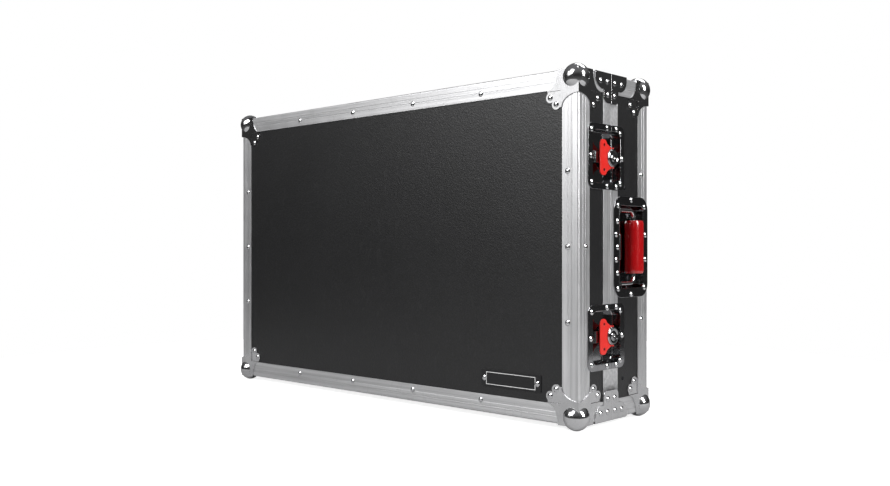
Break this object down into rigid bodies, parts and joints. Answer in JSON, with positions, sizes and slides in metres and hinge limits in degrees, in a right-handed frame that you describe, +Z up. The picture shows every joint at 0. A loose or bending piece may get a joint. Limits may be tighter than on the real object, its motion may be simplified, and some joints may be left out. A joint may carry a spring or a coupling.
{
  "type": "flight case",
  "caption": "Black road case for a table-top controller, with aluminium edges, ball corners, butterfly latches, recessed spring handles and a lift-off lid.",
  "frame": {"origin": "bottom centre of the bounding box, on the floor that the ball corners stand on", "axes": "+X along the length of the case, +Y from the lid to the base through the depth, +Z up as the case stands on its long narrow side"},
  "size_m": [0.874, 0.22, 0.558],
  "materials": {
    "laminate": "black laminated plywood with a fine leather grain",
    "aluminium": "mill aluminium extrusion, brushed",
    "chrome": "bright nickel-chrome plated steel",
    "red_paint": "red powder coat",
    "red_grip": "red glossy moulded grip",
    "foam": "dark grey dense foam",
    "rubber": "black rubber",
    "nameplate": "black plate with a plain white border"
  },
  "bodies": {
    "base": {"base_panel": "laminate", "base_right_wall": "laminate", "base_left_wall": "laminate", "base_top_wall": "laminate", "base_bottom_wall": "laminate", "base_edge_angles": "aluminium", "base_corner_angles": "aluminium", "base_tongue_rail": "aluminium", "base_ball_corners": "chrome", "base_corner_braces": "chrome", "base_rivets": "chrome", "base_foam": "foam", "rubber_feet": "rubber", "foot_screws": "chrome", "base_latch_dishes": "chrome", "latch_bearing_plates": "chrome", "base_latch_rivets": "chrome", "left_handle_dish": "chrome", "right_handle_dish": "chrome", "handle_pivot_rods": "chrome", "handle_spring_barrels": "chrome", "handle_rivets": "chrome"},
    "lid": {"lid_panel": "laminate", "lid_right_wall": "laminate", "lid_left_wall": "laminate", "lid_top_wall": "laminate", "lid_bottom_wall": "laminate", "lid_edge_angles": "aluminium", "lid_corner_angles": "aluminium", "lid_groove_rail": "aluminium", "lid_ball_corners": "chrome", "lid_corner_braces": "chrome", "lid_rivets": "chrome", "lid_foam": "foam", "nameplate": "nameplate", "nameplate_rivets": "chrome", "lid_latch_dishes": "chrome", "latch_keepers": "chrome", "lid_latch_rivets": "chrome"},
    "left_handle": {"left_handle_bail": "chrome", "left_handle_grip": "red_grip"},
    "left_lower_latch_hub": {"left_lower_latch_hub": "chrome"},
    "left_lower_latch_wing": {"left_lower_latch_wing": "red_paint"},
    "left_lower_latch_hook": {"left_lower_latch_hook": "chrome"},
    "left_upper_latch_hub": {"left_upper_latch_hub": "chrome"},
    "left_upper_latch_wing": {"left_upper_latch_wing": "red_paint"},
    "left_upper_latch_hook": {"left_upper_latch_hook": "chrome"},
    "right_handle": {"right_handle_bail": "chrome", "right_handle_grip": "red_grip"},
    "right_lower_latch_hub": {"right_lower_latch_hub": "chrome"},
    "right_lower_latch_wing": {"right_lower_latch_wing": "red_paint"},
    "right_lower_latch_hook": {"right_lower_latch_hook": "chrome"},
    "right_upper_latch_hub": {"right_upper_latch_hub": "chrome"},
    "right_upper_latch_wing": {"right_upper_latch_wing": "red_paint"},
    "right_upper_latch_hook": {"right_upper_latch_hook": "chrome"}
  },
  "joints": [
    {"name": "lid_lift", "type": "slide", "parent": "base", "child": "lid", "axis": [0, -1, 0], "range_m": [0, 0.3]},
    {"name": "left_handle_swing", "type": "hinge", "parent": "base", "child": "left_handle", "pos_m": [-0.422, 0.018, 0.279], "axis": [0, 0, 1], "range_deg": [0, 95], "stiffness_Nm_per_rad": 0.6, "springref_deg": -28.65},
    {"name": "left_lower_latch_turn", "type": "hinge", "parent": "base", "child": "left_lower_latch_hub", "pos_m": [-0.428, -0.004, 0.139], "axis": [1, 0, 0], "range_deg": [0, 180]},
    {"name": "left_lower_latch_wing_fold", "type": "hinge", "parent": "left_lower_latch_hub", "child": "left_lower_latch_wing", "pos_m": [-0.425, -0.004, 0.139], "axis": [0, 0, -1], "range_deg": [0, 180]},
    {"name": "left_lower_latch_hook_draw", "type": "slide", "parent": "base", "child": "left_lower_latch_hook", "axis": [0.493, 0.87, 0], "range_m": [0, 0.00691]},
    {"name": "left_upper_latch_turn", "type": "hinge", "parent": "base", "child": "left_upper_latch_hub", "pos_m": [-0.428, -0.004, 0.419], "axis": [1, 0, 0], "range_deg": [0, 180]},
    {"name": "left_upper_latch_wing_fold", "type": "hinge", "parent": "left_upper_latch_hub", "child": "left_upper_latch_wing", "pos_m": [-0.425, -0.004, 0.419], "axis": [0, 0, -1], "range_deg": [0, 180]},
    {"name": "left_upper_latch_hook_draw", "type": "slide", "parent": "base", "child": "left_upper_latch_hook", "axis": [0.493, 0.87, 0], "range_m": [0, 0.00691]},
    {"name": "right_handle_swing", "type": "hinge", "parent": "base", "child": "right_handle", "pos_m": [0.422, 0.018, 0.279], "axis": [0, 0, -1], "range_deg": [0, 95], "stiffness_Nm_per_rad": 0.6, "springref_deg": -28.65},
    {"name": "right_lower_latch_turn", "type": "hinge", "parent": "base", "child": "right_lower_latch_hub", "pos_m": [0.428, -0.004, 0.139], "axis": [1, 0, 0], "range_deg": [0, 180]},
    {"name": "right_lower_latch_wing_fold", "type": "hinge", "parent": "right_lower_latch_hub", "child": "right_lower_latch_wing", "pos_m": [0.425, -0.004, 0.139], "axis": [0, 0, 1], "range_deg": [0, 180]},
    {"name": "right_lower_latch_hook_draw", "type": "slide", "parent": "base", "child": "right_lower_latch_hook", "axis": [-0.493, 0.87, 0], "range_m": [0, 0.00691]},
    {"name": "right_upper_latch_turn", "type": "hinge", "parent": "base", "child": "right_upper_latch_hub", "pos_m": [0.428, -0.004, 0.419], "axis": [1, 0, 0], "range_deg": [0, 180]},
    {"name": "right_upper_latch_wing_fold", "type": "hinge", "parent": "right_upper_latch_hub", "child": "right_upper_latch_wing", "pos_m": [0.425, -0.004, 0.419], "axis": [0, 0, 1], "range_deg": [0, 180]},
    {"name": "right_upper_latch_hook_draw", "type": "slide", "parent": "base", "child": "right_upper_latch_hook", "axis": [-0.493, 0.87, 0], "range_m": [0, 0.00691]}
  ],
  "couplings": [
    {"joint": "left_lower_latch_wing_fold", "follows": "left_lower_latch_turn", "ratio": 1},
    {"joint": "left_lower_latch_hook_draw", "follows": "left_lower_latch_turn", "m_per_rad": 0.0021952},
    {"joint": "left_upper_latch_wing_fold", "follows": "left_upper_latch_turn", "ratio": 1},
    {"joint": "left_upper_latch_hook_draw", "follows": "left_upper_latch_turn", "m_per_rad": 0.0021952},
    {"joint": "right_lower_latch_wing_fold", "follows": "right_lower_latch_turn", "ratio": 1},
    {"joint": "right_lower_latch_hook_draw", "follows": "right_lower_latch_turn", "m_per_rad": 0.0021952},
    {"joint": "right_upper_latch_wing_fold", "follows": "right_upper_latch_turn", "ratio": 1},
    {"joint": "right_upper_latch_hook_draw", "follows": "right_upper_latch_turn", "m_per_rad": 0.0021952}
  ]
}
